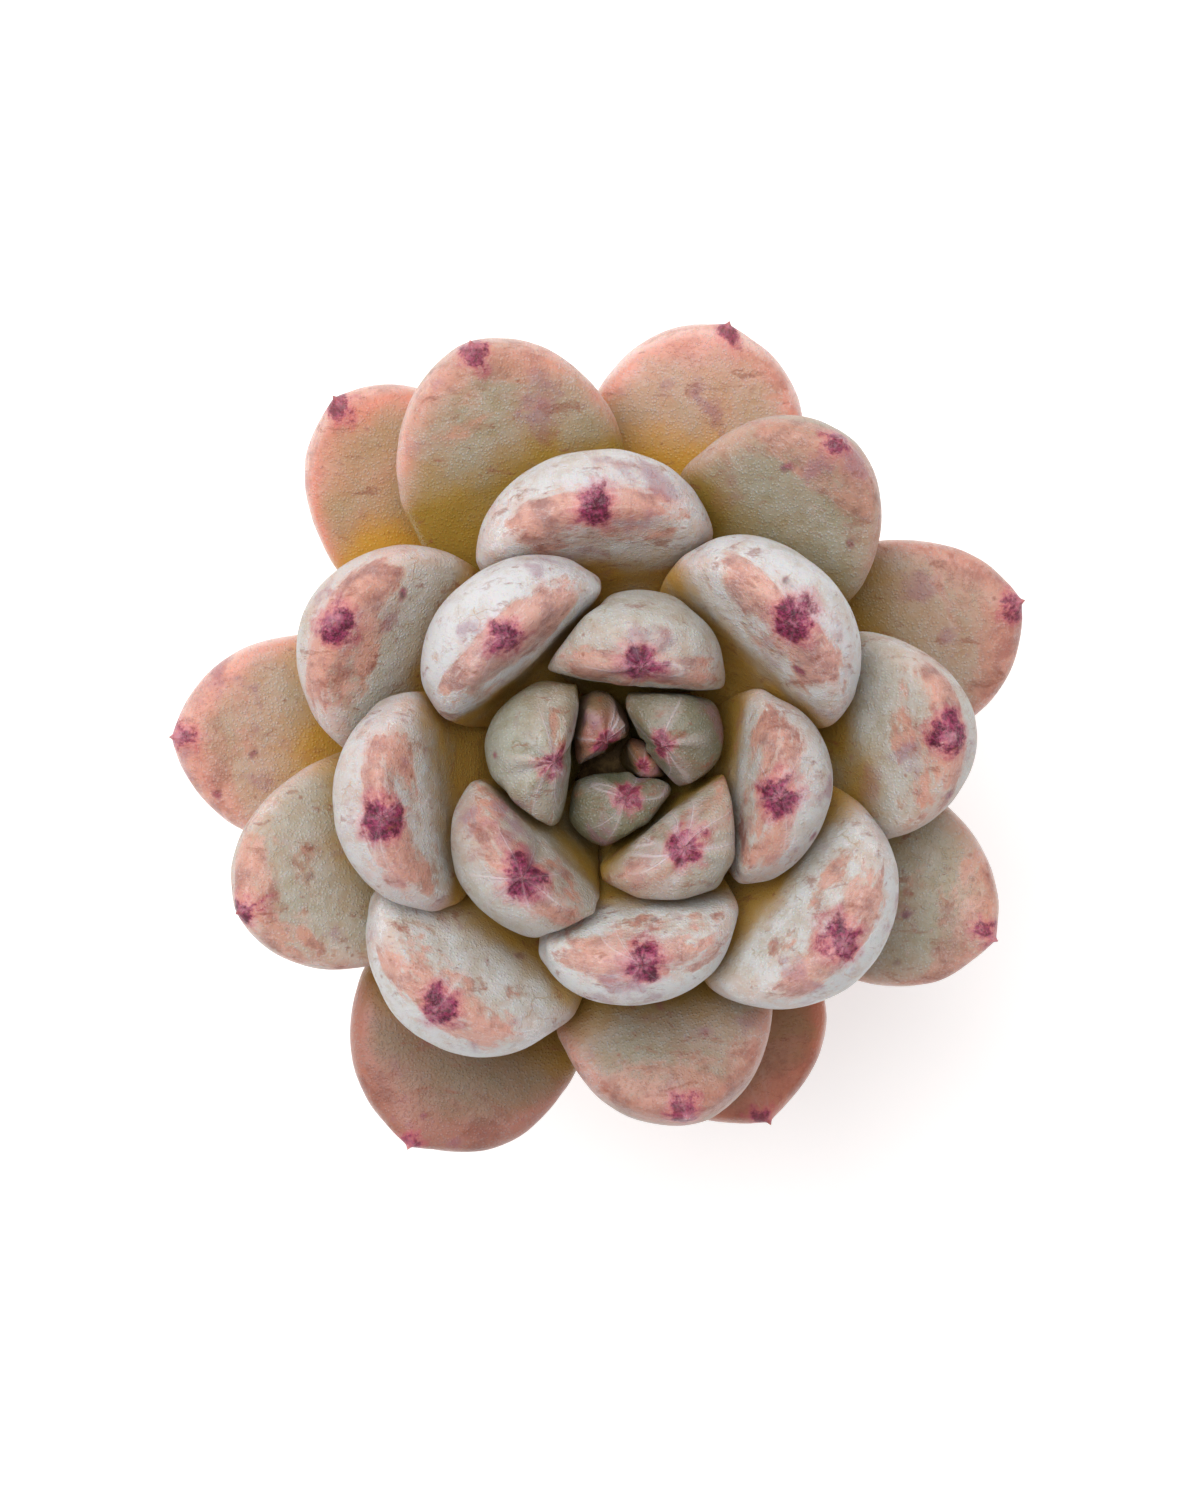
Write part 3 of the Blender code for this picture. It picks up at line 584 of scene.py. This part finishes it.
# painted shade: a leaf in the shade of other leaves is darkened by its painted shade share, to 0.4 of its
# colour at most
shade = add_node(tree, "MapRange", {0: painted_shade, 1: 0.0, 2: 1.0, 3: 1.0, 4: 0.4}).outputs[0]
tone = add_node(tree, "VectorMath", {0: tone, "Scale": shade}, operation="SCALE").outputs[0]

# crimson tip: a streaky dark ring with a paler middle, a pink halo, and a few drops and mauve stains
streak = add_node(tree, "TexNoise", {"Vector": ray, "Scale": 1.6, "Detail": 4, "Roughness": 0.6}).outputs[0]
wobble = add_node(tree, "MapRange", {0: cloud, 1: 0.25, 2: 0.75, 3: -0.8, 4: 0.8}).outputs[0]
frayed = add_node(tree, "MapRange", {0: streak, 1: 0.3, 2: 0.7, 3: -0.28, 4: 0.28}).outputs[0]
ragged = add_node(tree, "MapRange", {0: mottle, 1: 0.3, 2: 0.7, 3: -0.7, 4: 0.7}).outputs[0]
edge = add_node(tree, "Math", {0: from_tip, 1: wobble}, operation="ADD").outputs[0]
edge = add_node(tree, "Math", {0: edge, 1: frayed}, operation="ADD").outputs[0]
edge = add_node(tree, "Math", {0: edge, 1: ragged}, operation="ADD").outputs[0]
edge = add_node(tree, "Math", {0: edge, 1: spot}, operation="DIVIDE").outputs[0]
halo = add_node(tree, "MapRange", {0: edge, 1: 1.9, 2: 0.7, 3: 0.0, 4: 0.55},
                interpolation_type="SMOOTHSTEP").outputs[0]
tone = add_node(tree, "Mix", {0: halo, 6: tone, 7: linear("#c4566f")}, data_type="RGBA").outputs[2]
crimson = add_node(tree, "MapRange", {0: edge, 1: 1.25, 2: 0.65, 3: 0.0, 4: 0.96},
                   interpolation_type="SMOOTHSTEP").outputs[0]
drops = add_node(tree, "TexVoronoi", {"Vector": curl, "Scale": 300, "Randomness": 1}).outputs
drop = add_node(tree, "MapRange", {0: drops["Distance"], 1: 0.2, 2: 0.05, 3: 0.0, 4: 0.75},
                interpolation_type="SMOOTHSTEP").outputs[0]
some = add_node(tree, "MapRange", {0: drops["Color"], 1: 0.66, 2: 0.74, 3: 0.0, 4: 1.0}).outputs[0]
drop = add_node(tree, "Math", {0: drop, 1: some}, operation="MULTIPLY").outputs[0]
around = add_node(tree, "MapRange", {0: from_tip, 1: 14.0, 2: 5.0, 3: 0.0, 4: 1.0},
                  interpolation_type="SMOOTHSTEP").outputs[0]
drop = add_node(tree, "Math", {0: drop, 1: around}, operation="MULTIPLY").outputs[0]
crimson = add_node(tree, "Math", {0: crimson, 1: drop}, operation="MAXIMUM").outputs[0]
firm = add_node(tree, "MapRange", {0: bloom, 1: 0.3, 2: 0.8, 3: 0.75, 4: 1.0}).outputs[0]
crimson = add_node(tree, "Math", {0: crimson, 1: firm}, operation="MULTIPLY").outputs[0]
red = add_node(tree, "Math", {0: mottle, 1: fine}, operation="ADD").outputs[0]
red = add_node(tree, "MapRange", {0: red, 1: 0.84, 2: 1.16, 3: 0.0, 4: 1.0}).outputs[0]
red = add_node(tree, "Mix", {0: red, 6: linear("#4c0a26"), 7: linear("#953059")}, data_type="RGBA").outputs[2]
core = add_node(tree, "MapRange", {0: mottle, 1: 0.4, 2: 0.62, 3: 0.2, 4: 1.5}).outputs[0]
core = add_node(tree, "Math", {0: core, 1: from_tip}, operation="SUBTRACT", use_clamp=True).outputs[0]
core = add_node(tree, "Math", {0: core, 1: 0.6}, operation="MULTIPLY").outputs[0]
red = add_node(tree, "Mix", {0: core, 6: red, 7: linear("#c08e98")}, data_type="RGBA").outputs[2]
tone = add_node(tree, "Mix", {0: crimson, 6: tone, 7: red}, data_type="RGBA").outputs[2]
stain = add_node(tree, "Math", {0: cloud, 1: coarse}, operation="ADD").outputs[0]
stain = add_node(tree, "MapRange", {0: stain, 1: 1.1, 2: 1.3, 3: 0.0, 4: 0.5},
                 interpolation_type="SMOOTHSTEP").outputs[0]
stain = add_node(tree, "Math", {0: stain, 1: around}, operation="MULTIPLY").outputs[0]
tone = add_node(tree, "Mix", {0: stain, 6: tone, 7: linear("#8e5a70")}, data_type="RGBA").outputs[2]
over = add_node(tree, "Math", {0: ribs, 1: 0.3}, operation="MULTIPLY").outputs[0]
tone = add_node(tree, "Mix", {0: over, 6: tone, 7: linear("#d7b9bf")}, data_type="RGBA").outputs[2]

# small brown specks of dirt, and brown scuffs where something has rubbed against the leaf
specks = add_node(tree, "TexVoronoi", {"Vector": place, "Scale": 620, "Randomness": 1}).outputs
speck = add_node(tree, "MapRange", {0: specks["Distance"], 1: 0.15, 2: 0.06, 3: 0.0, 4: 0.6}).outputs[0]
some = add_node(tree, "MapRange", {0: specks["Color"], 1: 0.68, 2: 0.74, 3: 0.0, 4: 1.0}).outputs[0]
speck = add_node(tree, "Math", {0: speck, 1: some}, operation="MULTIPLY").outputs[0]
scuff = add_node(tree, "VectorMath", {0: other, 1: (260, 620, 420)}, operation="MULTIPLY").outputs[0]
scuff = add_node(tree, "TexNoise",
                 {"Vector": scuff, "Scale": 1.3, "Detail": 6, "Roughness": 0.7, "Distortion": 0.4}).outputs[0]
scuff = add_node(tree, "MapRange", {0: scuff, 1: 0.58, 2: 0.67, 3: 0.0, 4: 0.6}).outputs[0]
speck = add_node(tree, "Math", {0: speck, 1: scuff}, operation="MAXIMUM").outputs[0]
tone = add_node(tree, "Mix", {0: speck, 6: tone, 7: linear("#8a4f3a")}, data_type="RGBA").outputs[2]
tree.links.new(tone, shader.inputs["Base Color"])

rough = add_node(tree, "MapRange", {0: cover, 1: 0.0, 2: 0.8, 3: 0.34, 4: 0.52}).outputs[0]
tree.links.new(rough, shader.inputs["Roughness"])
shader.inputs["IOR"].default_value = 1.42
shader.inputs["Subsurface Weight"].default_value = 0.4
shader.inputs["Subsurface Radius"].default_value = (1.0, 0.45, 0.2)
shader.inputs["Subsurface Scale"].default_value = 0.003
grain = add_node(tree, "Bump", {"Strength": 0.6, "Distance": 0.00006, "Height": dust}).outputs[0]
grain = add_node(tree, "Bump",
                 {"Strength": 0.4, "Distance": 0.0002, "Height": mottle, "Normal": grain}).outputs[0]
grain = add_node(tree, "Bump",
                 {"Strength": 0.5, "Distance": 0.0001, "Height": cover, "Normal": grain}).outputs[0]
grain = add_node(tree, "Bump",
                 {"Strength": 0.6, "Distance": 0.0002, "Height": ribs, "Normal": grain}).outputs[0]
tree.links.new(grain, shader.inputs["Normal"])

# ring angles of the fine mesh: they start 0.05 mm from the tip and widen, then are even elsewhere
HALF_LEAF, LEAF_BLUNTNESS = 9.3, 0.78  # half the width of a broad leaf in mm, and its outline's power
FIRST_RING, RING_GROWTH, CLOSE_RINGS, CLOSE_ANGLE = 0.05, 1.22, 18, 0.13
close = np.minimum(FIRST_RING * RING_GROWTH ** np.arange(CLOSE_RINGS) / HALF_LEAF, 1)
close = np.arcsin(close ** (1 / LEAF_BLUNTNESS))
close = close[close < CLOSE_ANGLE]
fine_polar = np.concatenate([[0], close, np.linspace(close[-1], math.pi, FINE_RINGS - len(close))[1:]])

for number, looks in leaf_looks.items():
    green_share, rosy_share, patches, ribs_share, spot_radius, bloom_share, painted_shade_share = looks
    name = f"leaf_{number:02d}"
    grid = leaf_grid(name)
    channels = leaf_channels(grid)
    beyond = np.roll(channels[1:-1][::-1], LEAF_COLUMNS // 2, axis=1)
    wrapped = np.concatenate([channels, beyond])
    shape = bmesh.new()
    bmesh.ops.create_uvsphere(shape, u_segments=FINE_COLUMNS, v_segments=len(fine_polar) - 1, radius=1.0)
    ball = np.array([vert.co for vert in shape.verts])
    ring = np.round(np.arccos(np.clip(ball[:, 2], -1, 1)) / math.pi * (len(fine_polar) - 1)).astype(int)
    column = np.round(np.arctan2(ball[:, 1], ball[:, 0]) / math.tau * FINE_COLUMNS).astype(int) % FINE_COLUMNS
    steps = np.arange(FINE_COLUMNS) * LEAF_COLUMNS / FINE_COLUMNS
    columns = blend_four(wrapped.transpose(1, 0, 2), steps, LEAF_COLUMNS)
    rings = blend_four(columns.transpose(1, 0, 2), fine_polar * LEAF_RINGS / math.pi, 2 * LEAF_RINGS)
    face_top = np.maximum(rings[..., 4].max(axis=1), 0.3) * FACE_FLATNESS
    flattened = rings[..., 4] / (1 + (np.maximum(rings[..., 4], 0) / face_top[:, None]) ** 4) ** 0.25
    rings[..., :3] += rings[..., 7:10] * (flattened - rings[..., 4])[..., None] * MM
    rings[..., 4] = flattened
    values = rings[ring, column]
    forward = Vector(grid[0, 0] - grid[1].mean(axis=0)).normalized()
    old = min(1.0, max(0.0, (number - FIRST_OLD_LEAF) / OLD_OVER))
    for vert, value in zip(shape.verts, values):
        vert.co = value[:3]
    shape.normal_update()
    # soft lumps, ribs near the tip, a ridge between face and back, and the pointed apex
    seed = Vector((number * 3.7, number * 1.3, 0))
    for vert, value in zip(shape.verts, values):
        where = vert.co / MM
        side_mm, out_mm, along_mm = value[3:6]
        reach = math.sqrt(side_mm**2 + out_mm**2 + along_mm**2)
        lump = noise.noise(where * 0.16 + seed) * 0.26 + noise.noise(where * 0.45 + seed) * 0.07
        turned = Vector((side_mm, out_mm, 0)).normalized() * 1.9
        rib = noise.noise(turned + seed) * ribs_share * 0.55 * math.exp(-((reach - 2.2) / 2.2) ** 2)
        ridge = 0.2 * math.exp(-((out_mm / 0.7) ** 2)) * math.exp(-along_mm / 3.0) * min(1, reach / 1.5)
        vert.co += vert.normal * (lump + rib + ridge - 0.05) * MM
        apex = (0.3 + 0.4 * old) * math.exp(-((reach / (2.0 + 2.0 * old)) ** 2))
        apex += 1.2 * old * math.exp(-reach / 1.3)
        apex += 0.3 * math.exp(-((side_mm**2 + out_mm**2) / 0.17**2)) * (along_mm < 2)
        vert.co += forward * apex * MM
    # the foot colour starts where the leaf goes in among the leaves in front of it, so it also places the
    # painted shade and painted glow of those gaps
    start = min(3.2 + 0.2 * number, 7.2)
    foot_and_painted_gap_light_share = values[:, 5] + np.maximum(values[:, 4], 0) + np.abs(values[:, 3]) * 0.6 * (number < 7)
    foot_and_painted_gap_light_share = np.clip((foot_and_painted_gap_light_share - start) / GLASS_AND_GAP_LIGHT_LENGTH, 0, 1)
    piece = add_piece(f"{name}_skin", shape, skin, "leaf_skin", name)
    for attribute, data in (
        ("leaf_place", values[:, 3:6]),
        ("leaf_shape_and_painted_light", np.column_stack([foot_and_painted_gap_light_share, values[:, 6], np.full(len(values), painted_shade_share)])),
        ("leaf_kind", np.tile((green_share, rosy_share, bloom_share), (len(values), 1))),
        ("leaf_wear", np.tile((patches, ribs_share, spot_radius), (len(values), 1))),
    ):
        made = piece.data.attributes.new(attribute, "FLOAT_VECTOR", "POINT")
        made.data.foreach_set("vector", np.ascontiguousarray(data, np.float32).reshape(-1))

# ---------------------------------------------------------------- table, light and camera
# A plain white table under the pot, one large soft lamp above its far side, and a long lens
# straight above the rosette.
floor_shape = bmesh.new()
bmesh.ops.create_grid(floor_shape, x_segments=1, y_segments=1, size=3.0)
floor_mesh = bpy.data.meshes.new("table")
floor_shape.to_mesh(floor_mesh)
floor_shape.free()
floor = bpy.data.objects.new("table", floor_mesh)
bpy.context.scene.collection.objects.link(floor)
white, tree, shader = new_material("White table")
shader.inputs["Base Color"].default_value = linear("#f9f8f6")
shader.inputs["Roughness"].default_value = 0.9
shader.inputs["Emission Color"].default_value = linear("#ffffff")
shader.inputs["Emission Strength"].default_value = 0.35
floor_mesh.materials.append(white)

world = bpy.data.worlds.new("Studio")
world.use_nodes = True
world.node_tree.nodes["Background"].inputs["Color"].default_value = linear("#f6f7fb")
world.node_tree.nodes["Background"].inputs["Strength"].default_value = 0.55
bpy.context.scene.world = world
bpy.context.scene.view_settings.view_transform = "Standard"

lamp_data = bpy.data.lights.new("Soft lamp", "AREA")
lamp_data.shape = "DISK"
lamp_data.size = 0.8
lamp_data.energy = 7.2
lamp = bpy.data.objects.new("Soft lamp", lamp_data)
lamp.location = (-0.2, 0.24, 0.86)
lamp.rotation_euler = (Vector((0, 0, 0.07)) - lamp.location).to_track_quat("-Z", "Y").to_euler()
bpy.context.scene.collection.objects.link(lamp)

camera_data = bpy.data.cameras.new("Camera")
camera_data.sensor_fit = "HORIZONTAL"
camera_data.sensor_width = 36.0
camera_data.lens = 216.0
camera_data.clip_start = 0.01
camera = bpy.data.objects.new("Camera", camera_data)
camera.location = (0.0, -0.0012, 0.656)
bpy.context.scene.collection.objects.link(camera)
bpy.context.scene.camera = camera
